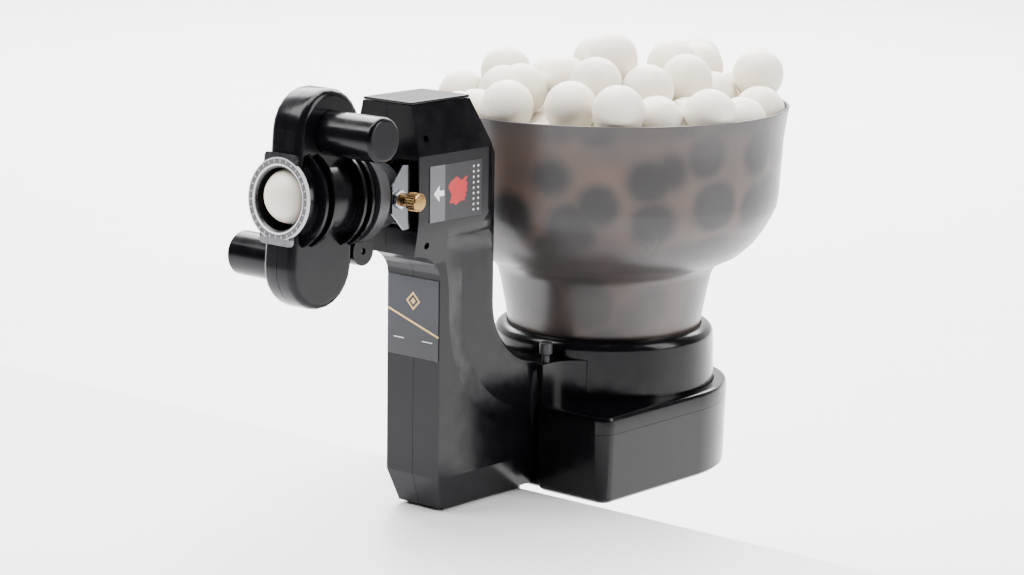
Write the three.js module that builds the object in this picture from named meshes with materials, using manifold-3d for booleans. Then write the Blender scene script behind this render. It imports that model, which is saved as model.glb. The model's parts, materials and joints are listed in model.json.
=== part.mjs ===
// A table tennis ball machine that stands on the end of a table. Millimetres, +Z up.
// Balls leave towards -Y. X = 0 is the middle plane, Z = 0 the table top and
// Y = 0 the front face of the column, until the last group moves the foot to the origin.
import * as THREE from "three";
import { mergeVertices } from "three/addons/utils/BufferGeometryUtils.js";
import Module from "manifold-3d";

const wasm = await Module();
wasm.setup();

// ---- Driving sizes ----
const GAP = 0.3; // clearance left between neighbouring pieces
const WALL = 2.5; // usual moulded wall
const BALL = 40;
const BORE = BALL / 2 + 1.25; // radius of the channel the balls are pushed through
const FAR = 400; // reaches past the whole machine, for half-space cuts

// Column
const COLUMN_HALF = 26;
const HEAD_HALF = 32;
const CREST_HALF = 23.5; // half the width of the head's flat top
const HEAD_FRONT = -30;
const HEAD_TOP = 307;
const THROAT_Z = 176; // the head's underside curves into the column's front above here
const THROAT_RISE = 22;
const BEND_Y = 117.5; // centre line that the channel, the side groove and the back curve share
const BEND_Z = 151.5;
const BACK_RADIUS = 49.5;
const GROOVE_FLOOR = 22.5; // half the column's width between its side grooves
const GROOVE_END = 263.5; // angle round the bend at which the groove's slanting band ends
const CHANNEL_Y = 38.5; // the rising run of the channel
const CHANNEL_Z = BEND_Z - (BEND_Y - CHANNEL_Y); // the level run under the drum
const TAIL_END = 112.7;
const HEAD_BACK = 33; // back edge of the head's top
const SIDE_SCREWS = [["head_screw_upper", -20, 283], ["head_screw_lower", -18, 205]]; // y, z
const SCREW_SUNK = 9;
const FILM = 0.5; // thickness of both labels
const FILM_GAP = 0.1;
const FOOT_HALF = 18;
const FOOT_FROM = 14;
const FOOT_TO = 98;
const PAD_THICK = 2.5;

// Drum, base and hopper share one upright axis
const DRUM_Y = 223;
const DRUM_RADIUS = 88; // at its foot; the wall leans in by DRUM_DRAFT
const DRUM_DRAFT = 1.5;
const SHOULDER_RADIUS = 8; // rounds the drum's wall over to its top
const RING_TOP = 110.5;
const NECK_RADIUS = 76.5; // hopper neck where it enters the drum
const CHAMBER_RADIUS = 82;
const CHAMBER_FLOOR = CHANNEL_Z - BORE;
const DRUM_FOOT = CHAMBER_FLOOR - 3.25;
const NOSE_HALF = 30; // the drum's nose joins the column
const NOSE_FILLET = 30; // hollow rounding between the nose and the drum
const NOSE_TOP = 96;
const NOSE_SCREW_X = 26;
const NOSE_SCREW_Y = 121;
const BASE_BACK_Y = 226; // centre of the base's round back
const BASE_HALF = 96.5;
const BASE_FRONT = 107.5;
const BASE_CORNER = 11;
const BASE_TOP = 66;
const BASE_SPLIT = 52;
const BASE_LOW = -1;
const BASE_DRAFT = 1.6; // the tray narrows by this much towards its bottom
const SWITCH_Y = 161;
const INLET_Y = 195;
const INLET_Z = 27;
const BOWL_RADIUS = 135;
const RIM_RADIUS = 141.2;
const RIM_Z = 284;
const POCKETS = 6; // in the feed wheel, one ball each
const POCKET_RING = 60; // radius that the pockets' centres lie on

// Aiming parts
const PIVOT = new THREE.Vector3(0, -45, 242); // where the tilt axis meets the barrel axis
const REST_PITCH = THREE.MathUtils.degToRad(5);
const MOUTH_HALF = 30.5;
const MOUTH_LOW = 217;
const MOUTH_HIGH = 268;
const SWEEP_Y = -18;
const YOKE_HALF = 26.5; // outside of the yoke's ears
const SHEET = 1.5;

// Launcher, in its own frame: origin at the pivot, barrel along -Y
const BARREL_BORE = 22;
const HOUSING_HALF = 15;
const WHEEL_AHEAD = 61.5;
const WHEEL_RISE = 47;
const WHEEL_RADIUS = 28;
const WHEEL_HALF = 10;
const TYRE = 4;
const HOUSING_RADIUS = 31;
const MOTOR_RADIUS = 13.8;
const COVER_RADIUS = 16;
const COVER_WALL = 1.6;
const COVER_END = 66;
const FLANGE_RADIUS = 36;
const FLANGES = [35, 43, 73, 81.5]; // where the flanges round the barrel begin
const FLANGE_THICK = 2.5;
const RING_FROM = WHEEL_AHEAD + HOUSING_RADIUS + GAP;
const RING_TO = RING_FROM + 2.5;
const RING_RADIUS = 29;
const LUG_AHEAD = 20.3; // lugs behind the lower wheel, with the screw that closes the housing
const LUG_DROP = 38;
const LUG_RADIUS = 10.5;

// Clamp under the table
const STRAP_Y = 103;
const STRAP = 3;
const CLAMP_Y = 52;
const CLAMP_HALF = 15;
const STRAP_LOW = -62;
const PAD_REST = -25;

// ---- Shapes ----
const rad = THREE.MathUtils.degToRad;

// Points on an arc, both ends included.
function arc(cx, cy, radius, from, to, steps) {
  return Array.from({ length: steps + 1 }, (_, i) => {
    const a = rad(from + ((to - from) * i) / steps);
    return [cx + radius * Math.cos(a), cy + radius * Math.sin(a)];
  });
}

function rectangle(x0, x1, y0, y1) {
  return [[x0, y0], [x1, y0], [x1, y1], [x0, y1]];
}

// The closed body inside a three.js geometry.
function solidOf(geometry) {
  const bare = geometry.index ? geometry.toNonIndexed() : geometry.clone();
  bare.deleteAttribute("normal");
  bare.deleteAttribute("uv");
  const merged = mergeVertices(bare, 1e-4);
  const corners = new Uint32Array(merged.index.array);
  const kept = [];
  for (let i = 0; i < corners.length; i += 3) {
    const [a, b, c] = corners.subarray(i, i + 3);
    if (a !== b && b !== c && c !== a) kept.push(a, b, c);
  }
  return new wasm.Manifold(
    new wasm.Mesh({
      numProp: 3,
      vertProperties: merged.attributes.position.array,
      triVerts: new Uint32Array(kept),
    }),
  );
}

// Which way the two outline coordinates and the thickness run, for each axis of thickness.
const FACING = {
  x: new THREE.Matrix4().set(0, 0, 1, 0, 1, 0, 0, 0, 0, 1, 0, 0, 0, 0, 0, 1),
  y: new THREE.Matrix4().set(1, 0, 0, 0, 0, 0, -1, 0, 0, 1, 0, 0, 0, 0, 0, 1),
  z: new THREE.Matrix4(),
};

// An outline made solid from low to high along an axis: (y, z) for x, (x, z) for y, (x, y) for z.
function plate(outline, low, high, axis = "z") {
  const shape = new THREE.Shape(outline.map(([a, b]) => new THREE.Vector2(a, b)));
  const geometry = new THREE.ExtrudeGeometry(shape, { depth: high - low, bevelEnabled: false });
  geometry.translate(0, 0, axis === "y" ? -high : low);
  return solidOf(geometry.applyMatrix4(FACING[axis]));
}

function block(x0, x1, y0, y1, z0, z1) {
  return plate(rectangle(x0, x1, y0, y1), z0, z1);
}

// A turned body from (radius, height) pairs that run up the outside; it closes on its axis
// unless the profile closes on itself.
function turned(profile, axis = "z", segments = 32) {
  const points = profile.map(([r, h]) => new THREE.Vector2(r, h));
  const geometry = new THREE.LatheGeometry(points, segments);
  if (axis === "z") geometry.rotateX(Math.PI / 2);
  if (axis === "x") geometry.rotateZ(-Math.PI / 2);
  return solidOf(geometry);
}

function rod(radius, low, high, axis = "z", segments = 24) {
  return turned([[0, low], [radius, low], [radius, high], [0, high]], axis, segments);
}

function tube(outer, inner, low, high, axis = "z", segments = 32) {
  return turned([[inner, low], [outer, low], [outer, high], [inner, high], [inner, low]], axis, segments);
}

// A body through layers of points. All layers have their points in the same order, and the
// outline gives that order in two dimensions, to close the first and last layer.
function lofted(layers, outline) {
  const count = outline.length;
  const last = (layers.length - 1) * count;
  const faces = [];
  for (let from = 0; from < last; from += count) {
    for (let i = 0; i < count; i++) {
      const a = from + i;
      const b = from + ((i + 1) % count);
      faces.push(a, b, b + count, a, b + count, a + count);
    }
  }
  const flat = outline.map(([u, v]) => new THREE.Vector2(u, v));
  for (const [a, b, c] of THREE.ShapeUtils.triangulateShape(flat, [])) {
    faces.push(a, c, b, last + a, last + b, last + c);
  }
  const geometry = new THREE.BufferGeometry();
  geometry.setAttribute("position", new THREE.Float32BufferAttribute(layers.flat(2), 3));
  geometry.setIndex(faces);
  return solidOf(geometry);
}

// Where a section of (distance, x) pairs lies at a station (y, z, angle): the distance is
// counted from (y, z) in the direction of the angle.
function stand(section, [y, z, angle]) {
  return section.map(([d, x]) => [x, y + d * Math.cos(rad(angle)), z + d * Math.sin(rad(angle))]);
}

const join = (...solids) => solids.reduce((a, b) => a.add(b));
const cut = (solid, ...tools) => tools.reduce((a, b) => a.subtract(b), solid);
const at = (solid, x, y, z) => solid.translate([x, y, z]);

// The half of a solid on one side of the middle plane, with half a seam taken off.
function half(solid, side) {
  const near = (side * GAP) / 2;
  const slab = block(Math.min(near, side * FAR), Math.max(near, side * FAR), -FAR, FAR, -FAR, FAR);
  return solid.intersect(slab);
}

// ---- Finishes ----
const FINISH = {
  gloss: { color: 0x0d0d10, roughness: 0.22, metalness: 0 },
  satin: { color: 0x17171a, roughness: 0.5, metalness: 0 },
  rubber: { color: 0x1b1b1b, roughness: 0.85, metalness: 0 },
  smoke: { color: 0x6f655e, roughness: 0.4, metalness: 0 },
  sheet: { color: 0xc9ccd0, roughness: 0.18, metalness: 1 },
  steel: { color: 0x9a9da2, roughness: 0.35, metalness: 1 },
  brass: { color: 0xb8893c, roughness: 0.3, metalness: 1 },
  label: { color: 0x2c3038, roughness: 0.5, metalness: 0 },
  board: { color: 0x1f5a3a, roughness: 0.6, metalness: 0 },
  nylon: { color: 0xd9d6cc, roughness: 0.5, metalness: 0 },
};

function piece(group, name, solid, finish) {
  const data = solid.getMesh();
  const geometry = new THREE.BufferGeometry();
  geometry.setAttribute("position", new THREE.BufferAttribute(data.vertProperties, data.numProp));
  geometry.setIndex(new THREE.BufferAttribute(data.triVerts, 1));
  geometry.computeVertexNormals();
  const mesh = new THREE.Mesh(geometry, new THREE.MeshStandardMaterial(FINISH[finish]));
  mesh.name = name;
  group.add(mesh);
}

const table = new THREE.Group();
table.name = "on_the_table";

// ---- Column ----
function columnBody() {
  const tailTop = 270 - THREE.MathUtils.radToDeg(Math.asin((BEND_Y - TAIL_END) / BACK_RADIUS));
  const throat = arc(0, 0, 1, 90, 0, 7).map(([u, v]) => [HEAD_FRONT * (1 - u), THROAT_Z + THROAT_RISE * v]);
  const side = [
    [8, PAD_THICK], [TAIL_END, PAD_THICK], ...arc(BEND_Y, BEND_Z, BACK_RADIUS, tailTop, 180, 10),
    [BEND_Y - BACK_RADIUS, 250], [61, 262], [50, 271], [HEAD_BACK, HEAD_TOP], [HEAD_FRONT, HEAD_TOP],
    [HEAD_FRONT, THROAT_Z + THROAT_RISE], ...throat, [0, 27],
  ];
  const front = [
    [20, 0], [COLUMN_HALF, 27], [COLUMN_HALF, 190], [30, 211], [HEAD_HALF, 225],
    [HEAD_HALF, 271], [CREST_HALF, HEAD_TOP],
  ];
  const outline = [...front, ...front.map(([x, z]) => [-x, z]).reverse()];
  return plate(side, -HEAD_HALF, HEAD_HALF, "x").intersect(plate(outline, HEAD_FRONT - 1, FAR, "y"));
}

// The cross sections cut away on each side. First number: distance from the bend's centre line.
// Second: distance from X = 0. In the column it is a slanting band, a flat floor and the rounded
// back corner; at the tail's end and in the head only a rounded back corner is left.
const BACK_CUT = [[107.5, 60], [BACK_RADIUS - 5.5, 60], [BACK_RADIUS - 5.5, 14], [BACK_RADIUS, 14]];
const GROOVE = [
  [107.5, COLUMN_HALF], ...BACK_CUT, [50.8, 18.5], [54, 21.8], [62, GROOVE_FLOOR], [90, GROOVE_FLOOR],
];
const TAIL_CORNER = [
  [107.5, COLUMN_HALF + 0.5], ...BACK_CUT, [50.8, 18.5], [54, 21.8], [60, 25], [66, COLUMN_HALF + 0.5],
];
const HEAD_CORNER = [
  [114.5, HEAD_HALF + 1], ...BACK_CUT, [53.5, 20], [60, 27], [67.5, 31], [77.5, HEAD_HALF + 1],
];
const EDGE_LEANS = [160, 214]; // heights between which the band's outer edge leans forward
const EDGE_FADES = [205, 222]; // and comes out of the head's side
const FLOOR_FADES = [196, 224]; // heights between which the floor comes out of the head's side
const FADE_STEPS = 8;

function fadingGroove(height) {
  const { lerp, smoothstep } = THREE.MathUtils;
  const floor = smoothstep(height, ...FLOOR_FADES);
  const lean = smoothstep(height, ...EDGE_LEANS);
  const edge = smoothstep(height, ...EDGE_FADES);
  return GROOVE.map(([d, x], k) => {
    const [headD, headX] = HEAD_CORNER[k];
    if (k > 0) return [lerp(d, headD, floor), lerp(x, headX, floor)];
    return [lerp(d, headD, lean), lerp(x, headX, edge)];
  });
}

// Stations round the bend, from one angle to another.
function roundBend(radius, from, to, steps) {
  const points = arc(BEND_Y, BEND_Z, radius, from, to, steps);
  return points.map(([y, z], i) => [y, z, from + ((to - from) * i) / steps]);
}

function grooveCutter() {
  const bottom = EDGE_LEANS[0];
  const rise = (FLOOR_FADES[1] - bottom) / FADE_STEPS;
  const tailEnd = [[BEND_Y + WALL, BEND_Z, 270], [BEND_Y, BEND_Z, GROOVE_END + 3]];
  const tail = tailEnd.map((station) => stand(TAIL_CORNER, station));
  const bend = roundBend(0, GROOVE_END, 180, 16).map((station) => stand(GROOVE, station));
  const fading = Array.from({ length: FADE_STEPS + 1 }, (_, i) => {
    const height = bottom + rise * i;
    return stand(fadingGroove(height), [BEND_Y, height, 180]);
  });
  const top = stand(HEAD_CORNER, [BEND_Y, HEAD_TOP + 1, 180]);
  return lofted([...tail, ...bend, ...fading, top], GROOVE);
}

// The channel runs level from the drum, turns up the column, then turns forward at the mouth.
function channel() {
  const round = arc(0, 0, BORE, 0, 360, 20).slice(0, -1);
  const turnZ = PIVOT.z - CHANNEL_Y;
  const forward = arc(0, turnZ, CHANNEL_Y, 0, 90, 8).map(([y, z], i) => [y, z, 180 + (90 * i) / 8]);
  const stations = [
    [BEND_Y + WALL, CHANNEL_Z, 270], ...roundBend(BEND_Y - CHANNEL_Y, 270, 180, 12),
    ...forward, [-WALL, PIVOT.z, 270],
  ];
  return lofted(stations.map((station) => stand(round, station)), round);
}

function addColumn() {
  const groove = grooveCutter();
  const mouth = block(-MOUTH_HALF, MOUTH_HALF, HEAD_FRONT - 1, 0, MOUTH_LOW, MOUTH_HIGH);
  const motorBay = block(-13, 13, SWEEP_Y - 11, -2, MOUTH_HIGH + 5, HEAD_TOP + 1);
  const screwHole = rod(2.6, HEAD_HALF - SCREW_SUNK - 3, HEAD_HALF + 1, "x", 16);
  const screwHoles = SIDE_SCREWS.map(([, y, z]) => at(screwHole, 0, y, z));
  const strapSlot = block(-CLAMP_HALF - GAP, CLAMP_HALF + GAP, STRAP_Y - GAP, STRAP_Y + STRAP + GAP, 0, 14);
  const body = cut(
    columnBody(), groove, groove.mirror([1, 0, 0]),
    channel(), mouth, motorBay, strapSlot,
    at(rod(3.4, MOUTH_LOW - 9, MOUTH_HIGH + 6, "z", 16), 0, SWEEP_Y, 0),
    ...screwHoles,
  );
  piece(table, "column_left_shell", half(body, 1), "gloss");
  piece(table, "column_right_shell", half(body, -1), "gloss");

  const cap = block(-CREST_HALF, CREST_HALF, HEAD_FRONT, HEAD_BACK, HEAD_TOP + GAP, HEAD_TOP + WALL);
  piece(table, "head_cap", cap, "gloss");
  piece(table, "foot_pad", block(-FOOT_HALF, FOOT_HALF, FOOT_FROM, FOOT_TO, 0, PAD_THICK - GAP), "rubber");
  piece(table, "front_label", block(-25, 25, -FILM_GAP - FILM, -FILM_GAP, 116, 176), "label");
  const side = HEAD_HALF + FILM_GAP;
  piece(table, "side_label", block(side, side + FILM, -19, 37, 222, 263), "label");
  const screw = rod(2.3, HEAD_HALF - SCREW_SUNK - 2.5, HEAD_HALF - SCREW_SUNK, "x", 16);
  for (const [name, y, z] of SIDE_SCREWS) piece(table, name, at(screw, 0, y, z), "satin");
}

// ---- Drum and base ----
// The base seen from above: a round back, straight sides, and a recess in front for the column
// and the nose. The margin draws the whole outline in.
function basePlan(margin) {
  const wide = BASE_HALF - margin;
  const front = BASE_FRONT + margin;
  const corner = BASE_CORNER - margin;
  const recess = NOSE_HALF + GAP + margin;
  const deep = TAIL_END + GAP + margin;
  return [
    ...arc(0, BASE_BACK_Y, wide, 0, 180, 24),
    ...arc(-wide + corner, front + corner, corner, 180, 270, 4),
    [-recess, front], [-recess, deep], [recess, deep], [recess, front],
    ...arc(wide - corner, front + corner, corner, 270, 360, 4),
  ];
}

// The drum and its nose seen from above, grown by some margin. A hollow rounding, which touches
// the nose's side and the drum's wall, runs from one to the other.
function nosePlan(margin) {
  const radius = NOSE_FILLET - margin;
  const centreX = NOSE_HALF + NOSE_FILLET;
  const reach = DRUM_RADIUS + NOSE_FILLET;
  const centreY = DRUM_Y - Math.sqrt(reach ** 2 - centreX ** 2);
  const touch = 180 - THREE.MathUtils.radToDeg(Math.asin((DRUM_Y - centreY) / reach));
  const side = [[NOSE_HALF + margin, TAIL_END + GAP], ...arc(centreX, centreY, radius, 180, touch, 6)];
  const back = [centreX / 2, DRUM_Y];
  return [...side, back, [-back[0], DRUM_Y], ...side.map(([x, y]) => [-x, y]).reverse()];
}

function addDrum() {
  const topRadius = DRUM_RADIUS - DRUM_DRAFT;
  const shoulder = arc(topRadius - SHOULDER_RADIUS, RING_TOP - SHOULDER_RADIUS, SHOULDER_RADIUS, 0, 90, 5);
  const skirt = turned([[0, DRUM_FOOT], [DRUM_RADIUS, DRUM_FOOT], ...shoulder, [0, RING_TOP]], "z", 48);
  const mouth = NECK_RADIUS + 0.7;
  const chamber = turned([
    [0, CHAMBER_FLOOR], [CHAMBER_RADIUS, CHAMBER_FLOOR], [CHAMBER_RADIUS, RING_TOP - 12],
    [mouth, RING_TOP - 7], [mouth, RING_TOP + 1], [0, RING_TOP + 1],
  ], "z", 48);
  const throat = rod(BORE, TAIL_END, 170, "y", 20).translate([0, 0, CHANNEL_Z]);
  const axle = rod(6, DRUM_FOOT - 1, CHAMBER_FLOOR + 1);
  const drum = cut(
    join(at(skirt, 0, DRUM_Y, 0), plate(nosePlan(0), DRUM_FOOT, NOSE_TOP)),
    at(chamber, 0, DRUM_Y, 0), throat, at(axle, 0, DRUM_Y, 0),
    at(rod(2.3, NOSE_TOP - 12, NOSE_TOP + 1, "z", 16), NOSE_SCREW_X, NOSE_SCREW_Y, 0),
  );
  piece(table, "drum_housing", drum, "gloss");
}

function addNoseScrew() {
  const screw = turned([
    [0, NOSE_TOP - 10], [1.9, NOSE_TOP - 10], [1.9, NOSE_TOP], [3, NOSE_TOP + GAP], [3, NOSE_TOP + 6],
    [5, NOSE_TOP + 7], [5, NOSE_TOP + 15], [4.2, NOSE_TOP + 16], [0, NOSE_TOP + 16],
  ], "z", 16);
  piece(table, "nose_thumb_screw", at(screw, NOSE_SCREW_X, NOSE_SCREW_Y, 0), "satin");
}

function addBase() {
  const drumRoom = join(
    at(rod(DRUM_RADIUS + GAP, DRUM_FOOT - GAP, FAR, "z", 48), 0, DRUM_Y, 0),
    plate(nosePlan(GAP), DRUM_FOOT - GAP, BASE_TOP + 1),
  );
  const level = ([z, margin]) => basePlan(margin).map(([x, y]) => [x, y, z]);
  const upperBody = [[BASE_SPLIT + GAP, 0], [BASE_TOP - 4, 0], [BASE_TOP - 1.2, 1.2], [BASE_TOP, 4]];
  const upper = cut(
    lofted(upperBody.map(level), basePlan(0)), plate(basePlan(WALL), BASE_SPLIT, BASE_TOP - 3), drumRoom,
  );
  piece(table, "base_upper_shell", upper, "gloss");

  const trayBody = [[BASE_LOW, BASE_DRAFT + 2], [BASE_LOW + 2, BASE_DRAFT], [BASE_SPLIT, GAP]];
  const tray = cut(
    lofted(trayBody.map(level), basePlan(0)),
    plate(basePlan(BASE_DRAFT + WALL), BASE_LOW + WALL, BASE_SPLIT + 1), drumRoom,
    block(-BASE_HALF - 1, -BASE_HALF + WALL + 2, SWITCH_Y - 12, SWITCH_Y + 12, 20, 35),
    at(rod(5, -BASE_HALF - 1, -BASE_HALF + WALL + 2, "x", 20), 0, INLET_Y, INLET_Z),
  );
  piece(table, "base_tray", tray, "gloss");

  const bezel = cut(
    join(
      block(-BASE_HALF - 1.5, -BASE_HALF - GAP, SWITCH_Y - 15, SWITCH_Y + 15, 17, 38),
      block(-BASE_HALF - 1, -BASE_HALF + 14, SWITCH_Y - 12 + GAP, SWITCH_Y + 12 - GAP, 20 + GAP, 35 - GAP),
    ),
    block(-BASE_HALF - 2, -BASE_HALF + 12, SWITCH_Y - 9.5, SWITCH_Y + 9.5, 22, 33),
  );
  piece(table, "switch_bezel", bezel, "satin");
  const rockerSide = [[-8.2, 1.4], [0, -1], [8.2, 1.4], [8.2, 4], [4, 8], [-4, 8], [-8.2, 4]];
  const rocker = plate(rockerSide.map(([y, depth]) => [depth, y]), 22.5, 32.5);
  piece(table, "switch_rocker", at(rocker, -BASE_HALF - 1, SWITCH_Y, 0), "satin");
  const inlet = turned([
    [3, 0], [7, 0], [7, 1.5], [4.6, 1.5 + GAP], [4.6, 12], [0, 12], [0, 9], [3, 9], [3, 0],
  ], "x", 20);
  piece(table, "power_inlet", at(inlet, -BASE_HALF - 1.5 - GAP, INLET_Y, INLET_Z), "satin");
  const board = join(
    block(-76, -24, 225, 265, 8, 9.6), block(-68, -50, 232, 252, 9.6, 14), block(-42, -32, 235, 255, 9.6, 20),
    block(-74, -68, 228, 262, 3.5 + GAP, 8), block(-32, -26, 228, 262, 3.5 + GAP, 8),
  );
  piece(table, "control_board", board, "board");
  const motor = turned([
    [0, 4], [12, 4], [12, 22], [18.5, 22], [18.5, 42], [6 - GAP, 42], [6 - GAP, 49], [3, 49],
    [3, 60], [0, 60],
  ], "z", 24);
  piece(table, "feed_gearmotor", at(motor, 0, DRUM_Y, 0), "steel");
}

// ---- Feeding parts ----
function addFeed() {
  const rim = Array.from({ length: POCKETS }, (_, i) => {
    const middle = i * (360 / POCKETS);
    const finger = arc(0, 0, CHAMBER_RADIUS - 3, middle - 9, middle + 9, 3);
    const side = rad(middle + 30);
    const pocket = arc(
      POCKET_RING * Math.cos(side), POCKET_RING * Math.sin(side), BALL / 2 + 2,
      middle + 30 - 90, middle + 30 - 270, 8,
    );
    return [...finger, ...pocket];
  }).flat();
  const star = cut(
    join(plate(rim, CHAMBER_FLOOR + 1, 72), rod(14, 71, 76)),
    rod(3 + GAP, CHAMBER_FLOOR, 61, "z", 16),
  );
  piece(table, "feed_wheel", at(star, 0, DRUM_Y, 0), "nylon");
  const cone = turned([[0, 76 + GAP], [26, 76 + GAP], [24, 84], [16, 92], [6, 97], [0, 98]], "z", 24);
  piece(table, "agitator_cone", at(cone, 0, DRUM_Y, 0), "nylon");
}

// A profile moved square to itself by a wall's thickness, inwards, and turned round.
function lining(profile, thickness) {
  return profile.map(([r, z], i) => {
    const [r0, z0] = profile[Math.max(i - 1, 0)];
    const [r1, z1] = profile[Math.min(i + 1, profile.length - 1)];
    const run = Math.hypot(r1 - r0, z1 - z0);
    const rise = i === 0 || i === profile.length - 1 ? 0 : (thickness * (r1 - r0)) / run;
    return [r - (thickness * (z1 - z0)) / run, z + rise];
  }).reverse();
}

function addHopper() {
  const outside = [
    [NECK_RADIUS - 0.7, 101], [NECK_RADIUS, 112], [78.6, 125], [81.2, 139], [84.4, 152.5], [88, 159],
    [97, 163.7], [107, 168.8], [117.5, 178.6], [124.7, 189], [131, 200.5], [134, 208], [BOWL_RADIUS, 217],
    [137.2, 256], [138.6, 268], [RIM_RADIUS, RIM_Z],
  ];
  const bowl = turned([...outside, ...lining(outside, WALL), outside[0]], "z", 48);
  piece(table, "hopper_bowl", at(bowl, 0, DRUM_Y, 0), "smoke");
}

// ---- Aiming parts ----
function addYoke() {
  const low = MOUTH_LOW + 2;
  const high = MOUTH_HIGH - 2;
  const tip = [[-40, high], [-52, PIVOT.z + 10], [-52, PIVOT.z - 10], [-40, low]];
  const ear = [[-12, low + 2], [-12, high - 2], ...tip];
  const across = block(-YOKE_HALF, YOKE_HALF, -12 - SHEET, -12, low, high);
  const tab = (z) => block(-11, 11, -26, -12, z, z + SHEET);
  const pin = (from, to) => at(rod(3, from, to, "z", 16), 0, SWEEP_Y, 0);
  const ears = plate(ear, -YOKE_HALF, YOKE_HALF, "x");
  const between = block(-YOKE_HALF + SHEET, YOKE_HALF - SHEET, -FAR, FAR, 0, FAR);
  const yoke = cut(
    join(
      cut(ears, between), across, tab(low), tab(high - SHEET),
      pin(MOUTH_LOW - 7, low + 1), pin(high - 1, MOUTH_HIGH + 7),
    ),
    at(rod(21.5, -20, -5, "y", 32), 0, 0, PIVOT.z),
    at(rod(3.3, -FAR, FAR, "x", 16), 0, PIVOT.y, PIVOT.z),
  );
  piece(table, "yoke", yoke, "sheet");
  const motor = join(
    at(rod(10, MOUTH_HIGH + 7 + GAP, 288, "z", 20), 0, SWEEP_Y, 0),
    block(-12, 12, SWEEP_Y - 10, -3, 288, HEAD_TOP - 1),
  );
  piece(table, "sweep_gearmotor", motor, "steel");
}

const launcher = new THREE.Group();
launcher.name = "along_the_barrel";
launcher.position.copy(PIVOT);
launcher.rotation.x = -REST_PITCH;
table.add(launcher);

// A body turned about the barrel, from (radius, distance ahead of the pivot) pairs.
function barrel(profile, segments = 32) {
  return turned([...profile.map(([r, s]) => [r, -s])].reverse(), "y", segments);
}

function addTiltSocket() {
  const socket = barrel([
    [21.8, -6], [24.2, -6], [24.2, 15], [31, 15], [33.2, 16.2], [34, 18.5], [34, 27], [25.2, 27 + GAP],
    [25.2, 33], [21.8, 33], [21.8, -6],
  ]);
  const shoulder = (x) => rod(5, x - 1, x + 1, "x", 16);
  const bored = cut(join(socket, shoulder(23.8), shoulder(-23.8)), rod(BARREL_BORE - 0.2, -34, 8, "y", 32));
  piece(launcher, "tilt_socket", bored, "satin");
  const stud = turned([[0, 25.1], [2.9, 25.1], [2.9, 44.5], [0, 44.5]], "x", 16);
  piece(launcher, "tilt_stud", stud, "steel");
  const rivet = turned([[0, -30], [5, -30], [5, -27], [2.9, -26.9], [2.9, -25.1], [0, -25.1]], "x", 16);
  piece(launcher, "tilt_rivet", rivet, "steel");
  const nut = cut(rod(7, 26.9, 29.6, "x", 6), rod(3.2, 26, 30, "x", 16));
  piece(launcher, "tilt_lock_nut", nut, "steel");
  const knurl = Array.from({ length: 48 }, (_, i) => {
    const a = rad(i * 7.5);
    const r = i % 2 ? 6.2 : 6.7;
    return [r * Math.cos(a), r * Math.sin(a)];
  });
  const dome = [[0, 45], [6.3, 45], [5.6, 47], [0, 47.6]];
  const knob = cut(
    join(plate(knurl, 38, 46, "x"), rod(5, 30, 38.5, "x", 24), turned(dome, "x", 24)),
    rod(3.2, 29, 45, "x", 16),
  );
  piece(launcher, "tilt_knob", knob, "brass");
}

function wheelRoom(rise) {
  return rod(WHEEL_RADIUS + 1, -WHEEL_HALF - 1, WHEEL_HALF + 1, "x", 28).translate([0, -WHEEL_AHEAD, rise]);
}

// A long round-ended outline about both wheels, in (y, z).
function housingOutline(radius) {
  return [
    ...arc(-WHEEL_AHEAD, WHEEL_RISE, radius, 0, 180, 12),
    ...arc(-WHEEL_AHEAD, -WHEEL_RISE, radius, 180, 360, 12),
  ];
}

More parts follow.
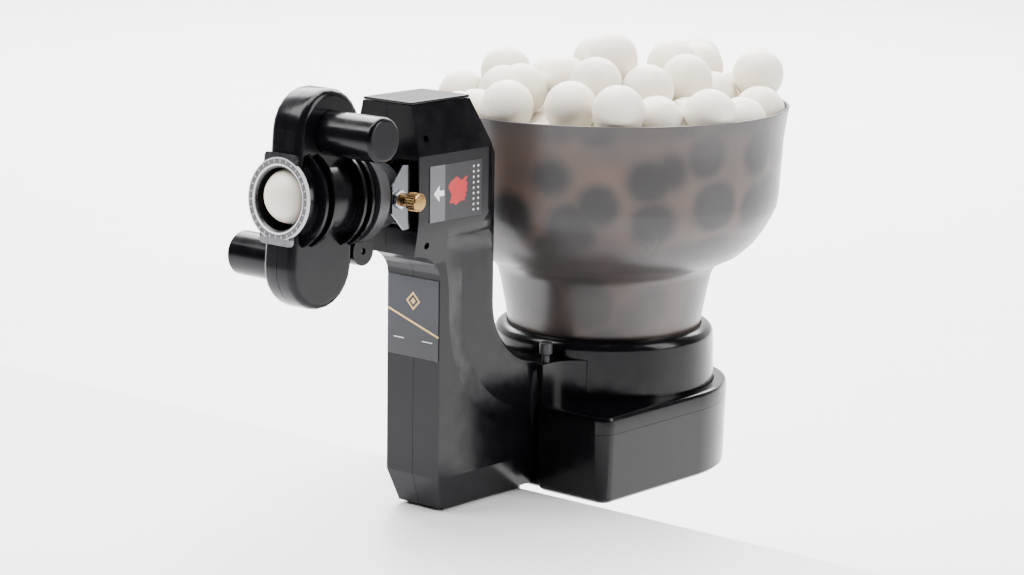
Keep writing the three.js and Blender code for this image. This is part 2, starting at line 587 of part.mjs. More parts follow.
function addLauncherShells() {
  const flanges = FLANGES.flatMap((from) => [
    [28, from], [FLANGE_RADIUS, from], [FLANGE_RADIUS, from + FLANGE_THICK], [28, from + FLANGE_THICK],
  ]);
  const tubeBody = barrel([
    [0, 27 + GAP], [30, 27 + GAP], [30, 33], ...flanges, [26.5, RING_FROM - GAP], [0, RING_FROM - GAP],
  ]);
  const rim = [[-15, 25.5], [-14.2, 28], [-12.5, 30], [-9.5, HOUSING_RADIUS]];
  const layers = [...rim, ...rim.map(([x, radius]) => [-x, radius]).reverse()];
  const housing = lofted(
    layers.map(([x, radius]) => housingOutline(radius).map(([y, z]) => [x, y, z])), housingOutline(1),
  );
  const lug = rod(LUG_RADIUS, 4, HOUSING_HALF - 1, "x", 20).translate([0, -LUG_AHEAD, -LUG_DROP]);
  const lugMirror = lug.mirror([1, 0, 0]);
  const socketRoom = barrel([[0, 0], [34 + GAP, 0], [34 + GAP, 27 + GAP], [0, 27 + GAP]]);
  const shaftHole = rod(3, 0, HOUSING_HALF + 1, "x", 16);
  const body = cut(
    join(tubeBody, cut(join(housing, lug, lugMirror), socketRoom)),
    rod(BARREL_BORE, -RING_TO, 0, "y", 32), barrel([[0, 27], [25.5, 27], [25.5, 33.4], [0, 33.4]], 32),
    wheelRoom(WHEEL_RISE), wheelRoom(-WHEEL_RISE),
    shaftHole.translate([0, -WHEEL_AHEAD, WHEEL_RISE]),
    shaftHole.mirror([1, 0, 0]).translate([0, -WHEEL_AHEAD, -WHEEL_RISE]),
    rod(2.4, HOUSING_HALF - 7, HOUSING_HALF + 1, "x", 16).translate([0, -LUG_AHEAD, -LUG_DROP]),
  );
  piece(launcher, "launcher_left_shell", half(body, 1), "gloss");
  piece(launcher, "launcher_right_shell", half(body, -1), "gloss");
  const screw = rod(2, HOUSING_HALF - 6, HOUSING_HALF - 3, "x", 16);
  piece(launcher, "launcher_screw", screw.translate([0, -LUG_AHEAD, -LUG_DROP]), "steel");

  const tabs = [
    ...arc(12.5, 29, 3, 0, 90, 3), ...arc(-12.5, 29, 3, 90, 180, 3),
    ...arc(-12.5, -29, 3, 180, 270, 3), ...arc(12.5, -29, 3, 270, 360, 3),
  ];
  const flare = barrel([
    [0, RING_FROM - 1], [BARREL_BORE, RING_FROM - 1], [BARREL_BORE, RING_FROM + GAP], [24, RING_TO],
    [24, RING_TO + 1], [0, RING_TO + 1],
  ], 40);
  const ring = join(rod(RING_RADIUS, -RING_TO, -RING_FROM, "y", 40), plate(tabs, -RING_TO, -RING_FROM, "y"));
  piece(launcher, "scale_ring", cut(ring, flare), "satin");
}

function addWheel(name, rise, side) {
  const place = (solid) => (side < 0 ? solid.mirror([1, 0, 0]) : solid).translate([0, -WHEEL_AHEAD, rise]);
  const rim = WHEEL_RADIUS - TYRE - GAP;
  const hub = turned([
    [0, -8], [7, -8], [7, -3], [rim - 4, -2], [rim - 4, -WHEEL_HALF], [rim, -WHEEL_HALF], [rim, WHEEL_HALF],
    [rim - 4, WHEEL_HALF], [rim - 4, 2], [7, 3], [7, 8], [1.6, 8], [1.6, 24], [0, 24],
  ], "x", 32);
  piece(launcher, name + "_wheel_hub", place(hub), "nylon");
  const tyre = tube(WHEEL_RADIUS, WHEEL_RADIUS - TYRE, -WHEEL_HALF, WHEEL_HALF, "x", 36);
  piece(launcher, name + "_wheel_tyre", place(tyre), "rubber");
  const from = HOUSING_HALF + GAP;
  const motor = turned([
    [0, 26], [2, 26], [2, from], [MOTOR_RADIUS, from], [MOTOR_RADIUS, from + 37], [6, from + 37],
    [6, from + 40], [0, from + 40],
  ], "x", 24);
  piece(launcher, name + "_motor", place(motor), "steel");
  const cover = turned([
    [COVER_RADIUS - COVER_WALL, from], [COVER_RADIUS, from], [COVER_RADIUS, COVER_END - 2],
    [COVER_RADIUS - 2, COVER_END], [0, COVER_END], [0, COVER_END - 2], [COVER_RADIUS - 3, COVER_END - 2],
    [COVER_RADIUS - COVER_WALL, COVER_END - 4], [COVER_RADIUS - COVER_WALL, from],
  ], "x", 32);
  piece(launcher, name + "_motor_cover", place(cover), "gloss");
}

// ---- Clamp ----
function addClamp() {
  const strap = join(
    block(-CLAMP_HALF, CLAMP_HALF, STRAP_Y, STRAP_Y + STRAP, STRAP_LOW - STRAP, 13),
    block(-CLAMP_HALF, CLAMP_HALF, CLAMP_Y - 14, STRAP_Y + STRAP, STRAP_LOW - STRAP, STRAP_LOW),
    at(rod(9, STRAP_LOW - 1, STRAP_LOW + 9), 0, CLAMP_Y, 0),
  );
  const threaded = at(rod(4 + GAP, STRAP_LOW - 5, STRAP_LOW + 12), 0, CLAMP_Y, 0);
  piece(table, "clamp_bracket", cut(strap, threaded), "satin");
  const screw = turned([
    [0, -96], [4, -96], [4, PAD_REST - 5], [2.5, PAD_REST - 4], [2.5, PAD_REST - 2], [0, PAD_REST - 2],
  ], "z", 20);
  piece(table, "clamp_screw", at(screw, 0, CLAMP_Y, 0), "steel");
  const screwRoom = turned([
    [0, -40], [4.4, -40], [4.4, PAD_REST - 4.6], [2.9, PAD_REST - 3.6], [2.9, PAD_REST - 1.6], [0, PAD_REST - 1.6],
  ], "z", 20);
  const pad = cut(rod(13, PAD_REST - 6, PAD_REST, "z", 28), screwRoom);
  piece(table, "clamp_pad", at(pad, 0, CLAMP_Y, 0), "rubber");
  const lobes = arc(0, 0, 17, 0, 360, 30).slice(0, -1).map(([x, y], i) => {
    const k = 1 - 0.08 * (1 + Math.cos((i * Math.PI) / 2.5)) / 2;
    return [x * k, y * k];
  });
  const knob = cut(join(plate(lobes, -104, -88), rod(9, -89, -80)), rod(4 + GAP, -97, -79));
  piece(table, "clamp_knob", at(knob, 0, CLAMP_Y, 0), "satin");
}

addColumn();
addDrum();
addNoseScrew();
addBase();
addFeed();
addHopper();
addYoke();
addTiltSocket();
addLauncherShells();
addWheel("upper", WHEEL_RISE, 1);
addWheel("lower", -WHEEL_RISE, -1);
addClamp();

// The foot's middle becomes the origin.
table.position.y = -(FOOT_FROM + FOOT_TO) / 2;
const machine = new THREE.Group();
machine.name = "table_tennis_robot";
machine.add(table);
export default machine;
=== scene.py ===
"""Looks for the table tennis robot: materials, labels, balls, table end, light and camera."""

import json
import math

import bmesh
import bpy
import numpy as np
from mathutils import Matrix, Vector
from mathutils.bvhtree import BVHTree


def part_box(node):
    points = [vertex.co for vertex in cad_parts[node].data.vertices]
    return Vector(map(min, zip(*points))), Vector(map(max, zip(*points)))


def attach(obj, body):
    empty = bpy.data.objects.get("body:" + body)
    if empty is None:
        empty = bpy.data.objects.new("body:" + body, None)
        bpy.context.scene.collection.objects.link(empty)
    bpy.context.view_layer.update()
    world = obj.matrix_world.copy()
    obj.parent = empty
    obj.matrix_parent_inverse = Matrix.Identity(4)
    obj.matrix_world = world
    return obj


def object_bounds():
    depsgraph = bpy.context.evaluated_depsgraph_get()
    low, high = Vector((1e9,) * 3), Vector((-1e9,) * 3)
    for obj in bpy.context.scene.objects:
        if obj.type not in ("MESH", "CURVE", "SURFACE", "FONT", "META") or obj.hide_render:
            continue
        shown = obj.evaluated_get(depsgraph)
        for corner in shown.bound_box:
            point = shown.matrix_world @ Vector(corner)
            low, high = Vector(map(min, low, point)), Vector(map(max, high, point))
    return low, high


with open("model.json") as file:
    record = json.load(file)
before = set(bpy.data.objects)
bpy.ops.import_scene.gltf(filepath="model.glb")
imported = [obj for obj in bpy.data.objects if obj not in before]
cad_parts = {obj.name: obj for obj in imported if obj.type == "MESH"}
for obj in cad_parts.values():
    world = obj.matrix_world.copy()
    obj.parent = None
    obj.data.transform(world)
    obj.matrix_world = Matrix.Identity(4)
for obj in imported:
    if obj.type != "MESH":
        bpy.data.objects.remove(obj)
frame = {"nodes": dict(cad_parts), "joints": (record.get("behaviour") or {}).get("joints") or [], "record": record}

# ---- Driving sizes ----
CAD_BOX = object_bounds()
MM = 0.001
BALL_RADIUS = 20 * MM
BORE_RADIUS = 22 * MM
MUZZLE_DEPTH = 13.4 * MM  # from the middle of the ring plate back to the ball's centre
BALLS = 150
TABLE_WIDE = 1.52
TABLE_LONG = 1.3
FLOOR_HALF = 6.0
FLOOR_DROP = 40 * MM  # the floor lies this far under the clamp


# ---- Places taken from the frame ----
def middle(node):
    low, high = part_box(node)
    return (low + high) / 2


def joint_axis(name):
    joint = next(j for j in frame["joints"] if j["name"] == name)
    return Vector(joint.get("pos_m", (0, 0, 0))), Vector(joint["axis"]).normalized()


TABLE_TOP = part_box("foot_pad")[0].z
TABLE_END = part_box("clamp_bracket")[1].y - 4 * MM
HOPPER_AXIS = middle("hopper_bowl")
HOPPER_LOW, HOPPER_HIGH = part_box("hopper_bowl")
PIVOT, BARREL = joint_axis("spin_roll")
DOWN = BARREL.cross(Vector((1, 0, 0)))  # square to the barrel


# ---- Material building ----
class Shader:
    """A node material around one Principled BSDF."""

    def __init__(self, name, colour, roughness, **sockets):
        self.material = bpy.data.materials.new(name)
        self.material.use_nodes = True
        self.tree = self.material.node_tree
        self.bsdf = self.tree.nodes["Principled BSDF"]
        self.bsdf.inputs["Base Color"].default_value = (*colour, 1)
        self.bsdf.inputs["Roughness"].default_value = roughness
        for socket, value in sockets.items():
            self.bsdf.inputs[socket.replace("_", " ")].default_value = value
        self.colour = colour
        self.roughness = roughness
        self.coordinates = self.node("ShaderNodeTexCoord").outputs["Object"]

    def node(self, kind, **settings):
        made = self.tree.nodes.new(kind)
        for key, value in settings.items():
            setattr(made, key, value)
        return made

    def link(self, output, target):
        self.tree.links.new(output, target)

    def noise(self, scale, detail=4.0, stretch=(1, 1, 1)):
        mapping = self.node("ShaderNodeMapping")
        mapping.inputs["Scale"].default_value = stretch
        self.link(self.coordinates, mapping.inputs["Vector"])
        texture = self.node("ShaderNodeTexNoise")
        texture.inputs["Scale"].default_value = scale
        texture.inputs["Detail"].default_value = detail
        self.link(mapping.outputs["Vector"], texture.inputs["Vector"])
        return texture.outputs["Fac"]

    def ramp(self, factor, stops, smooth="LINEAR"):
        ramp = self.node("ShaderNodeValToRGB")
        ramp.color_ramp.interpolation = smooth
        elements = ramp.color_ramp.elements
        while len(elements) < len(stops):
            elements.new(0.5)
        for element, (place, value) in zip(elements, stops):
            element.position = place
            element.color = (*value, 1) if isinstance(value, tuple) else (value, value, value, 1)
        self.link(factor, ramp.inputs["Fac"])
        return ramp.outputs["Color"]

    def vary_colour(self, factor, spread=0.25):
        low = tuple(c * (1 - spread) for c in self.colour)
        high = tuple(min(1, c * (1 + spread)) for c in self.colour)
        self.link(self.ramp(factor, [(0.3, low), (0.7, high)]), self.bsdf.inputs["Base Color"])

    def vary_roughness(self, factor, spread=0.05):
        low = max(0.02, self.roughness - spread)
        high = min(1, self.roughness + spread)
        self.link(self.ramp(factor, [(0.3, low), (0.7, high)]), self.bsdf.inputs["Roughness"])

    def bump(self, factor, strength=0.1, distance=0.0005):
        bump = self.node("ShaderNodeBump")
        bump.inputs["Strength"].default_value = strength
        bump.inputs["Distance"].default_value = distance
        self.link(factor, bump.inputs["Height"])
        self.link(bump.outputs["Normal"], self.bsdf.inputs["Normal"])

    def math(self, operation, first, second=0.0):
        step = self.node("ShaderNodeMath", operation=operation)
        for socket, value in zip(step.inputs, (first, second)):
            if isinstance(value, bpy.types.NodeSocket):
                self.link(value, socket)
            else:
                socket.default_value = value
        return step.outputs["Value"]

    def across(self, origin, direction):
        """Distance from a point of the frame, counted along a direction."""
        away = self.node("ShaderNodeVectorMath", operation="SUBTRACT")
        self.link(self.coordinates, away.inputs[0])
        away.inputs[1].default_value = origin
        along = self.node("ShaderNodeVectorMath", operation="DOT_PRODUCT")
        self.link(away.outputs["Vector"], along.inputs[0])
        along.inputs[1].default_value = direction
        return along.outputs["Value"]

    def apart(self, value, other):
        """How far a value is from another, counted without its sign."""
        return self.math("ABSOLUTE", self.math("SUBTRACT", value, other))

    def inside(self, value, middle, half):
        """1 where a value lies within half of the middle, else 0."""
        return self.math("LESS_THAN", self.apart(value, middle), half)

    def both(self, first, second):
        """1 where two masks are both 1."""
        return self.math("MULTIPLY", first, second)

    def paint(self, mask, colour, amount=1.0):
        """Lays a colour over what is there, where the mask is 1."""
        mix = self.node("ShaderNodeMix", data_type="RGBA")
        source = self.bsdf.inputs["Base Color"].links
        if source:
            self.link(source[0].from_socket, mix.inputs["A"])
        else:
            mix.inputs["A"].default_value = (*self.colour, 1)
        mix.inputs["B"].default_value = (*colour, 1)
        self.link(self.math("MULTIPLY", mask, amount), mix.inputs["Factor"])
        self.link(mix.outputs["Result"], self.bsdf.inputs["Base Color"])

    def worn_edges(self, colour, amount=0.5):
        """Brighter, scuffed edges, from how convex the surface is."""
        geometry = self.node("ShaderNodeNewGeometry")
        self.paint(self.ramp(geometry.outputs["Pointiness"], [(0.52, 0.0), (0.6, 1.0)]), colour, amount)


def gloss_plastic():
    shader = Shader("gloss black", (0.002, 0.002, 0.003), 0.2, Specular_IOR_Level=0.22)
    shader.vary_colour(shader.noise(14), 0.3)
    shader.vary_roughness(shader.noise(90, 6), 0.05)
    shader.bump(shader.noise(28, 2), 0.03, 0.0012)
    return shader.material


def satin_plastic():
    shader = Shader("satin black", (0.016, 0.016, 0.018), 0.42)
    shader.vary_colour(shader.noise(30), 0.3)
    shader.vary_roughness(shader.noise(200, 5), 0.08)
    shader.bump(shader.noise(1600, 2), 0.15, 0.0001)
    return shader.material


def painted_strap():
    shader = Shader("powder coat", (0.02, 0.02, 0.022), 0.5)
    shader.vary_colour(shader.noise(60), 0.3)
    shader.bump(shader.noise(900, 3), 0.3, 0.0002)
    shader.worn_edges((0.2, 0.2, 0.2))
    return shader.material


def rubber():
    shader = Shader("rubber", (0.02, 0.02, 0.02), 0.75)
    shader.vary_colour(shader.noise(60), 0.3)
    shader.vary_roughness(shader.noise(300, 4), 0.1)
    shader.bump(shader.noise(1200, 4), 0.35, 0.0002)
    return shader.material


def polished_sheet():
    shader = Shader("polished sheet", (0.14, 0.145, 0.155), 0.14, Metallic=1.0)
    shader.vary_colour(shader.noise(25), 0.06)
    shader.vary_roughness(shader.noise(120, 5, (1, 1, 12)), 0.06)
    shader.bump(shader.noise(20, 2), 0.05, 0.0006)
    return shader.material


def turned_steel():
    shader = Shader("steel", (0.55, 0.56, 0.58), 0.3, Metallic=1.0)
    shader.vary_colour(shader.noise(60), 0.12)
    shader.vary_roughness(shader.noise(500, 4, (1, 1, 8)), 0.1)
    shader.bump(shader.noise(800, 3, (8, 1, 1)), 0.08, 0.0001)
    return shader.material


def knurled_brass():
    shader = Shader("brass", (0.3, 0.18, 0.07), 0.25, Metallic=1.0)
    shader.vary_colour(shader.noise(120), 0.2)
    shader.vary_roughness(shader.noise(300, 4), 0.1)
    shader.bump(shader.noise(900, 3), 0.15, 0.0001)
    return shader.material


def nylon():
    shader = Shader("nylon", (0.72, 0.7, 0.63), 0.45, Subsurface_Weight=0.15)
    shader.vary_colour(shader.noise(40), 0.06)
    shader.vary_roughness(shader.noise(260, 4), 0.08)
    shader.bump(shader.noise(700, 3), 0.1, 0.0001)
    return shader.material


def circuit_board():
    shader = Shader("circuit board", (0.03, 0.16, 0.08), 0.4)
    shader.vary_colour(shader.noise(400, 2), 0.5)
    shader.bump(shader.noise(500, 2), 0.3, 0.0002)
    return shader.material


# How much the hopper's haze, in its plain colour, hides the painted ball shade and the painted warm light between
# them, by height: 0 at the neck's foot, 1 at the rim.
HAZE = [
    (0.0, 0.5), (0.26, 0.55), (0.34, 0.92), (0.44, 0.9),
    (0.56, 0.3), (0.8, 0.15), (0.9, 0.45), (1.0, 0.9),
]


def smoked_shell():
    """Frosted smoke-brown plastic. Painted shade of the balls behind it darkens it in soft round patches, with
    painted warm light between them, and a little is seen straight through."""
    shader = Shader("smoked shell", (0.055, 0.046, 0.044), 0.32, Specular_IOR_Level=0.55)
    shader.vary_colour(shader.noise(9), 0.12)
    cells = shader.node("ShaderNodeTexVoronoi", feature="SMOOTH_F1")
    cells.inputs["Scale"].default_value = 0.5 / BALL_RADIUS
    cells.inputs["Smoothness"].default_value = 0.2
    cells.inputs["Randomness"].default_value = 0.6
    shader.link(shader.coordinates, cells.inputs["Vector"])
    between = shader.ramp(cells.outputs["Distance"], [(0.38, 0.0), (0.66, 1.0)], "EASE")
    # Painted shade: dark round patches where the balls behind the shell lie in shadow.
    shader.paint(shader.math("SUBTRACT", 1.0, between), (0.012, 0.01, 0.011))
    # Painted warm light in the gaps between the balls.
    shader.paint(shader.math("MULTIPLY", between, shader.noise(26, 1)), (0.15, 0.085, 0.05), 0.8)
    height = shader.across(HOPPER_AXIS, (0, 0, 1))
    full = HOPPER_HIGH.z - HOPPER_LOW.z
    level = shader.math("ADD", shader.math("DIVIDE", height, full), 0.5)
    shader.paint(shader.ramp(level, HAZE, "EASE"), (0.05, 0.043, 0.042))
    # Painted warm light, lighter towards the neck's foot.
    shader.paint(shader.ramp(level, [(0.2, 0.5), (0.3, 0.0)]), (0.09, 0.07, 0.06), 0.6)
    shader.vary_roughness(shader.noise(14, 2), 0.05)
    shader.bump(shader.noise(30, 1), 0.02, 0.0006)
    through = shader.node("ShaderNodeBsdfTransparent")
    through.inputs["Color"].default_value = (0.62, 0.56, 0.54, 1)
    mix = shader.node("ShaderNodeMixShader")
    share = shader.ramp(shader.noise(7, 2), [(0.2, 0.94), (0.8, 0.9)])
    shader.link(share, mix.inputs["Fac"])
    shader.link(through.outputs["BSDF"], mix.inputs[1])
    shader.link(shader.bsdf.outputs["BSDF"], mix.inputs[2])
    output = shader.tree.nodes["Material Output"]
    shader.link(mix.outputs["Shader"], output.inputs["Surface"])
    return shader.material


GOLD = (0.72, 0.47, 0.16)
WHITE = (0.8, 0.8, 0.8)
DIAMOND_UP = 12 * MM  # above the front film's middle
RULES_UP = -17 * MM
STRIPE_SLOPE = 0.32
FIELD_EDGE = -12 * MM  # from the side film's middle, towards the back
DOT_COLUMNS = (19 * MM, 24 * MM)
DOT_PITCH = 4 * MM
TICK_PITCH = math.radians(12)
TICK_HALF = 0.012  # radians


def film(name, node, right, colour):
    """A printed film: its shader, and the distances to the right and up from its middle."""
    shader = Shader(name, colour, 0.32)
    shader.vary_colour(shader.noise(35), 0.12)
    shader.vary_roughness(shader.noise(24, 2), 0.05)
    shader.bump(shader.noise(60, 1), 0.04, 0.0001)
    centre = middle(node)
    return shader, shader.across(centre, right), shader.across(centre, (0, 0, 1))


def front_film():
    """Slate film with a plain gold diamond, a straight gold stripe and thin white rules."""
    shader, right, up = film("front film", "front_label", (1, 0, 0), (0.014, 0.016, 0.024))
    # Painted shade: the film is painted darker towards the bottom.
    painted_shade_height = shader.math("ADD", shader.math("MULTIPLY", up, 16), 0.5)
    shader.paint(shader.ramp(painted_shade_height, [(0.1, 1.0), (0.6, 0.0)]), (0.006, 0.006, 0.008))
    aside = shader.math("ABSOLUTE", right)
    spread = shader.math("ADD", aside, shader.apart(up, DIAMOND_UP))
    shader.paint(shader.inside(spread, 6 * MM, 1 * MM), GOLD)
    shader.paint(shader.math("LESS_THAN", spread, 2.5 * MM), GOLD)
    slant = shader.math("ADD", up, shader.math("MULTIPLY", right, STRIPE_SLOPE))
    shader.paint(shader.inside(slant, -4 * MM, 0.8 * MM), GOLD)
    rules = shader.both(shader.inside(aside, 14 * MM, 5 * MM), shader.inside(up, RULES_UP, 0.3 * MM))
    shader.paint(rules, WHITE)
    return shader.material


def side_film():
    """Black film with a grey field, a white arrow to the front, a red patch and white dots."""
    shader, back, up = film("side film", "side_label", (0, 1, 0), (0.008, 0.008, 0.01))
    shader.paint(shader.math("LESS_THAN", back, FIELD_EDGE), (0.09, 0.09, 0.1))
    height = shader.math("ABSOLUTE", up)
    point = shader.math("LESS_THAN", shader.math("SUBTRACT", height, shader.math("ADD", back, 24 * MM)), 0)
    head = shader.both(point, shader.inside(back, -21 * MM, 3 * MM))
    stem = shader.both(shader.math("LESS_THAN", height, 2 * MM), shader.inside(back, -16 * MM, 3 * MM))
    shader.paint(shader.math("MAXIMUM", head, stem), WHITE)
    wobble = shader.math("MULTIPLY", shader.noise(160, 2), 9 * MM)
    patch = shader.math("MAXIMUM", shader.apart(back, 2 * MM), height)
    shader.paint(shader.math("LESS_THAN", shader.math("ADD", patch, wobble), 13 * MM), (0.42, 0.004, 0.008))
    rows = shader.math("LESS_THAN", height, 17 * MM)
    for column in DOT_COLUMNS:
        step = shader.math("PINGPONG", up, DOT_PITCH / 2)
        dots = shader.math("LESS_THAN", shader.math("ADD", step, shader.apart(back, column)), 1 * MM)
        shader.paint(shader.both(dots, rows), WHITE)
    return shader.material


def scale_plate():
    """Dark grey ring with bright lips, fine tick marks and a grey upper tab, on a black body."""
    shader = Shader("scale plate", (0.012, 0.012, 0.014), 0.3)
    shader.vary_colour(shader.noise(60), 0.3)
    shader.vary_roughness(shader.noise(300, 4), 0.06)
    centre = middle("scale_ring")
    right = shader.across(centre, (1, 0, 0))
    up = shader.across(centre, -DOWN)
    squares = shader.math("ADD", shader.math("POWER", right, 2), shader.math("POWER", up, 2))
    reach = shader.math("SQRT", squares)
    shader.paint(shader.inside(reach, 26 * MM, 3.2 * MM), (0.1, 0.1, 0.105))
    shader.paint(shader.inside(reach, 24 * MM, 0.6 * MM), (0.75, 0.75, 0.76))
    shader.paint(shader.inside(reach, 28.6 * MM, 0.5 * MM), (0.5, 0.5, 0.52))
    turn = shader.math("PINGPONG", shader.math("ARCTAN2", right, up), TICK_PITCH / 2)
    ticks = shader.both(shader.math("LESS_THAN", turn, TICK_HALF), shader.inside(reach, 26.6 * MM, 1 * MM))
    shader.paint(ticks, (0.6, 0.6, 0.6))
    tab = shader.both(shader.math("GREATER_THAN", up, 27 * MM), shader.math("LESS_THAN", reach, 40 * MM))
    shader.paint(tab, (0.16, 0.16, 0.17))
    return shader.material


def celluloid():
    shader = Shader("celluloid", (0.8, 0.75, 0.64), 0.38, Subsurface_Weight=0.25, Subsurface_Scale=0.01)
    shader.vary_colour(shader.noise(30), 0.04)
    shader.vary_roughness(shader.noise(200, 4), 0.05)
    shader.bump(shader.noise(900, 2), 0.06, 0.0001)
    return shader.material


MATERIALS = {
    "gloss_black": gloss_plastic(),
    "satin_black": satin_plastic(),
    "black_paint": painted_strap(),
    "smoke": smoked_shell(),
    "rubber": rubber(),
    "sheet_steel": polished_sheet(),
    "steel": turned_steel(),
    "brass": knurled_brass(),
    "nylon": nylon(),
    "board_green": circuit_board(),
}
BALL_FINISH = celluloid()
OWN_FINISH = {"front_label": front_film(), "side_label": side_film(), "scale_ring": scale_plate()}


# ---- CAD nodes: soften edges and give each its finish ----
BEVEL = {"gloss_black": 0.9 * MM, "sheet_steel": 0.2 * MM, "smoke": 0.7 * MM}
USUAL_BEVEL = 0.35 * MM
USUAL_ANGLE = math.radians(32)
EDGE_ANGLE = {"hopper_bowl": math.radians(50)}  # it has no edge but its rim
# The column's grooves meet its sides at a shallow angle that has to stay crisp. Between the two
# ranges lie the steps of its rounded corners.
CREASED = ("column_left_shell", "column_right_shell")
CREASES = ((math.radians(9.5), math.radians(20)), (math.radians(46), math.radians(180)))


def place_of(mesh, pair):
    """The same for two edges that lie in the same place."""
    return frozenset(tuple(round(c / MM, 2) for c in mesh.vertices[i].co) for i in pair)


def crease(mesh):
    """Marks as sharp the edges whose two faces meet at an angle in one of the ranges."""
    normals = {}
    for face in mesh.polygons:
        for pair in face.edge_keys:
            normals.setdefault(place_of(mesh, pair), []).append(face.normal)
    for edge in mesh.edges:
        sides = normals[place_of(mesh, edge.vertices)]
        turn = sides[0].angle(sides[-1], 0)
        edge.use_edge_sharp = any(low < turn < high for low, high in CREASES)


def refine(node, slot):
    """Gives a node its finish, small rounded edges and even shading."""
    node.data.materials.clear()
    node.data.materials.append(OWN_FINISH.get(node.name) or MATERIALS[slot])
    for face in node.data.polygons:
        face.use_smooth = True
    if node.name in CREASED:
        crease(node.data)
    weld = node.modifiers.new("weld", "WELD")
    weld.merge_threshold = 0.01 * MM
    merge = node.modifiers.new("flat faces", "DECIMATE")
    merge.decimate_type = "DISSOLVE"
    merge.angle_limit = math.radians(0.5)
    bevel = node.modifiers.new("edges", "BEVEL")
    bevel.width = BEVEL.get(slot, USUAL_BEVEL)
    bevel.segments = 2
    bevel.limit_method = "ANGLE"
    bevel.angle_limit = EDGE_ANGLE.get(node.name, USUAL_ANGLE)
    even = node.modifiers.new("even shading", "WEIGHTED_NORMAL")
    even.weight = 80
    even.keep_sharp = True


for entry in frame["record"]["subparts"]:
    refine(frame["nodes"][entry["node"]], entry["material_slot"])


# ---- Balls ----
def inner_profile():
    """(height, inner radius) up the hopper, felt from its axis outwards."""
    mesh = frame["nodes"]["hopper_bowl"].data
    tree = BVHTree.FromPolygons([v.co for v in mesh.vertices], [face.vertices for face in mesh.polygons])
    heights = np.arange(HOPPER_LOW.z + MM, HOPPER_HIGH.z - MM, 2 * MM)
    starts = [Vector((HOPPER_AXIS.x, HOPPER_AXIS.y, z)) for z in heights]
    reach = [tree.ray_cast(start, Vector((1, 0, 0)))[3] for start in starts]
    return np.stack([heights, np.array(reach)], axis=1)


LAYER = 18  # balls in each layer they start from
LAYER_RISE = 1.1 * BALL_RADIUS
SPIN = 2.4  # radians from one ball to the next
FALL = 0.6 * MM  # in the first step, and less in each later one
PASSES = 4
TINY = 1e-9
FEELERS = (-0.7, 0.7, 0.0)  # heights at which a ball feels for the wall, in its own radii


def settle(count, steps):
    """Lets balls fall into the hopper: each step pulls them down, then pushes overlaps apart."""
    walls = inner_profile()
    random = np.random.default_rng(7)
    index = np.arange(count)
    spin = index * SPIN
    reach = np.sqrt((index % LAYER + 0.5) / LAYER) * (walls[-1, 1] - 1.6 * BALL_RADIUS)
    rise = walls[0, 0] + BALL_RADIUS + (index // LAYER) * LAYER_RISE
    points = np.stack([reach * np.cos(spin), reach * np.sin(spin), rise], axis=1)
    points += random.normal(0, MM, points.shape)
    slope = np.gradient(walls[:, 1], walls[:, 0])
    low, high = np.triu_indices(count, 1)
    for step in range(steps):
        points[:, 2] -= FALL * (1 - step / steps)
        for _ in range(PASSES):
            apart = points[high] - points[low]
            distance = np.linalg.norm(apart, axis=1) + TINY
            overlap = np.clip(2 * BALL_RADIUS - distance, 0, None)
            push = overlap[:, None] * apart / distance[:, None] * 0.5
            np.add.at(points, low, -push)
            np.add.at(points, high, push)
            keep_inside(points, walls, slope)
    return points + np.array([HOPPER_AXIS.x, HOPPER_AXIS.y, 0])


def keep_inside(points, walls, slope):
    """Moves balls that reach through the hopper's wall back, square to the wall."""
    for feel in FEELERS:
        height = points[:, 2] + feel * BALL_RADIUS
        radius = np.hypot(points[:, 0], points[:, 1]) + TINY
        wall = np.interp(height, walls[:, 0], walls[:, 1])
        lean = np.interp(height, walls[:, 0], slope, right=0)
        near = BALL_RADIUS * (np.sqrt(1 + lean**2) if feel == 0 else math.sqrt(1 - feel**2))
        over = np.clip(radius + near - wall, 0, None)
        share = over / (1 + lean**2)
        points[:, 0] -= points[:, 0] / radius * share
        points[:, 1] -= points[:, 1] / radius * share
        points[:, 2] += lean * share * (feel == 0)
    points[:, 2] = np.maximum(points[:, 2], walls[0, 0] + BALL_RADIUS)


SEAM_HALF = 0.6 * MM
SEAM_DEPTH = 0.0035  # as a share of the ball's radius


def ball_mesh():
    """A ball with its faint moulding seam pressed in round the middle."""
    mesh = bpy.data.meshes.new("ball")
    shape = bmesh.new()
    bmesh.ops.create_uvsphere(shape, u_segments=40, v_segments=24, radius=BALL_RADIUS)
    for vertex in shape.verts:
        seam = math.exp(-((vertex.co.z / SEAM_HALF) ** 2))
        vertex.co *= 1 - SEAM_DEPTH * seam
    shape.to_mesh(mesh)
    shape.free()
    for face in mesh.polygons:
        face.use_smooth = True
    mesh.materials.append(BALL_FINISH)
    return mesh


def add_ball(name, shape, place, turn):
    ball = bpy.data.objects.new(name, shape)
    bpy.context.scene.collection.objects.link(ball)
    ball.location = place
    ball.rotation_euler = turn
    return ball


def add_balls():
    """The heap in the hopper, as high as the frame leaves room, and one ball in the muzzle."""
    shape = ball_mesh()
    random = np.random.default_rng(11)
    points = settle(BALLS, 260)
    low, high = CAD_BOX
    top = high.z + 0.03 * (high.z - low.z) + 9 * MM
    points = points[points[:, 2] + BALL_RADIUS < top]
    for number, point in enumerate(points):
        ball = add_ball(f"ball_{number:03d}", shape, point, random.uniform(0, 2 * math.pi, 3))
        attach(ball, "hopper")
    ahead = (middle("scale_ring") - PIVOT).dot(BARREL)
    place = PIVOT + BARREL * (ahead - MUZZLE_DEPTH) + DOWN * (BORE_RADIUS - BALL_RADIUS)
    loose = add_ball("ball_in_muzzle", shape, place, (0.4, 1.1, 0.2))
    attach(loose, "launcher")


add_balls()


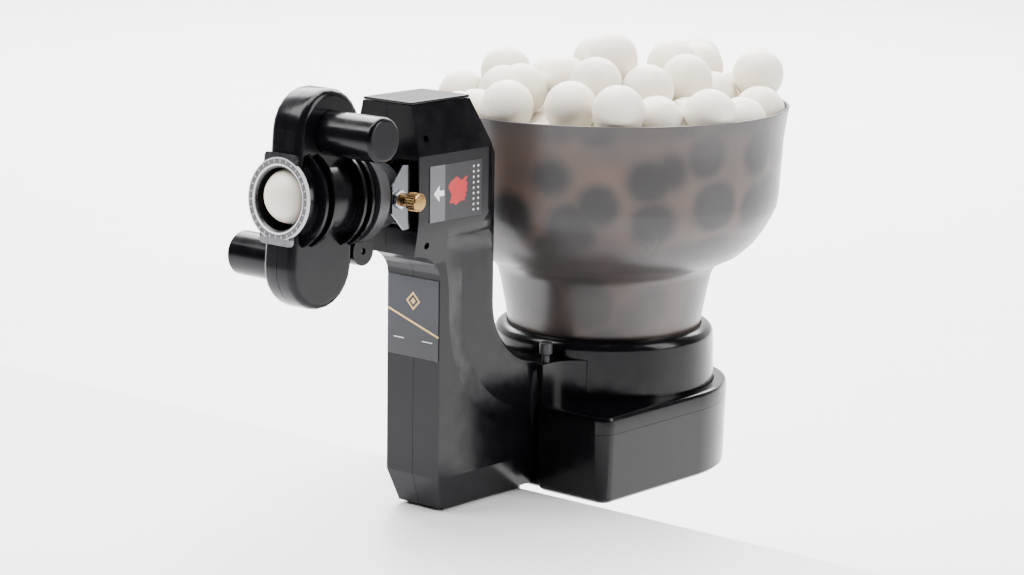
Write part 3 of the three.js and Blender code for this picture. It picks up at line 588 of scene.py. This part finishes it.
# ---- Stage, light and camera ----
def plain_material(name, colour, roughness):
    shader = Shader(name, colour, roughness)
    shader.vary_colour(shader.noise(3), 0.02)
    shader.vary_roughness(shader.noise(12), 0.05)
    return shader.material


def add_stage():
    floor_z = CAD_BOX[0].z - FLOOR_DROP
    bpy.ops.mesh.primitive_plane_add(size=2 * FLOOR_HALF, location=(0, 0, floor_z))
    floor = bpy.context.object
    floor.name = "floor"
    floor.data.materials.append(plain_material("floor", (0.86, 0.86, 0.87), 0.6))

    thick = TABLE_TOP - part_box("clamp_pad")[1].z
    slab = bpy.data.meshes.new("table_end")
    shape = bmesh.new()
    bmesh.ops.create_cube(shape, size=1)
    bmesh.ops.scale(shape, vec=(TABLE_WIDE, TABLE_LONG, thick), verts=shape.verts)
    centre = (0, TABLE_END - TABLE_LONG / 2, TABLE_TOP - thick / 2)
    bmesh.ops.translate(shape, vec=centre, verts=shape.verts)
    shape.to_mesh(slab)
    shape.free()
    top = bpy.data.objects.new("table_end", slab)
    bpy.context.scene.collection.objects.link(top)
    soften = top.modifiers.new("edges", "BEVEL")
    soften.width = 2 * MM
    soften.segments = 3
    slab.materials.append(plain_material("table end", (0.8, 0.8, 0.82), 0.45))


def towards(azimuth, elevation):
    """Direction from the machine: azimuth 0 is ahead of it, 90 on its left side."""
    a, e = math.radians(azimuth), math.radians(elevation)
    return Vector((math.sin(a) * math.cos(e), -math.cos(a) * math.cos(e), math.sin(e)))


def add_light(name, azimuth, elevation, distance, size, power, down=False):
    """A soft light that faces the machine, or straight down."""
    data = bpy.data.lights.new(name, "AREA")
    data.shape = "RECTANGLE"
    data.size, data.size_y = size
    data.energy = power
    light = bpy.data.objects.new(name, data)
    bpy.context.scene.collection.objects.link(light)
    away = distance * towards(azimuth, elevation)
    light.location = (CAD_BOX[0] + CAD_BOX[1]) / 2 + away
    if not down:
        light.rotation_euler = (-away).to_track_quat("-Z", "Y").to_euler()


AZIMUTH = 40.5
ELEVATION = 11.4
ROLL = 0.8
DISTANCE = 2.18
LENS = 104.4
SENSOR = 36
TARGET = Vector((49.3, -3.1, 167.3)) * MM


def add_camera():
    data = bpy.data.cameras.new("camera")
    data.lens = LENS
    data.sensor_width = SENSOR
    camera = bpy.data.objects.new("camera", data)
    bpy.context.scene.collection.objects.link(camera)
    away = towards(AZIMUTH, ELEVATION)
    camera.location = TARGET + DISTANCE * away
    turn = (-away).to_track_quat("-Z", "Y").to_matrix() @ Matrix.Rotation(math.radians(ROLL), 3, "Z")
    camera.rotation_euler = turn.to_euler()
    bpy.context.scene.camera = camera


def add_world():
    """White studio, brightest behind the machine as the camera sees it."""
    world = bpy.data.worlds.new("studio")
    bpy.context.scene.world = world
    world.use_nodes = True
    nodes = world.node_tree.nodes
    links = world.node_tree.links
    direction = nodes.new("ShaderNodeTexCoord").outputs["Generated"]
    along = nodes.new("ShaderNodeVectorMath")
    along.operation = "DOT_PRODUCT"
    along.inputs[1].default_value = -towards(AZIMUTH, 0)
    links.new(direction, along.inputs[0])
    spread = nodes.new("ShaderNodeMapRange")
    for name, value in (("From Min", 0.2), ("From Max", 0.75), ("To Min", 0.12), ("To Max", 2.0)):
        spread.inputs[name].default_value = value
    links.new(along.outputs["Value"], spread.inputs["Value"])
    background = nodes["Background"]
    background.inputs["Color"].default_value = (1, 1, 1, 1)
    links.new(spread.outputs["Result"], background.inputs["Strength"])


add_stage()
add_light("key", -35, 50, 2.2, (1.2, 1.2), 60)
add_light("side", 110, 25, 2.0, (0.8, 1.6), 40)
add_light("top", 10, 85, 2.0, (1.4, 1.4), 70)
add_light("far", AZIMUTH + 180, 35, 4.5, (5.0, 5.0), 1100, down=True)
add_camera()
add_world()
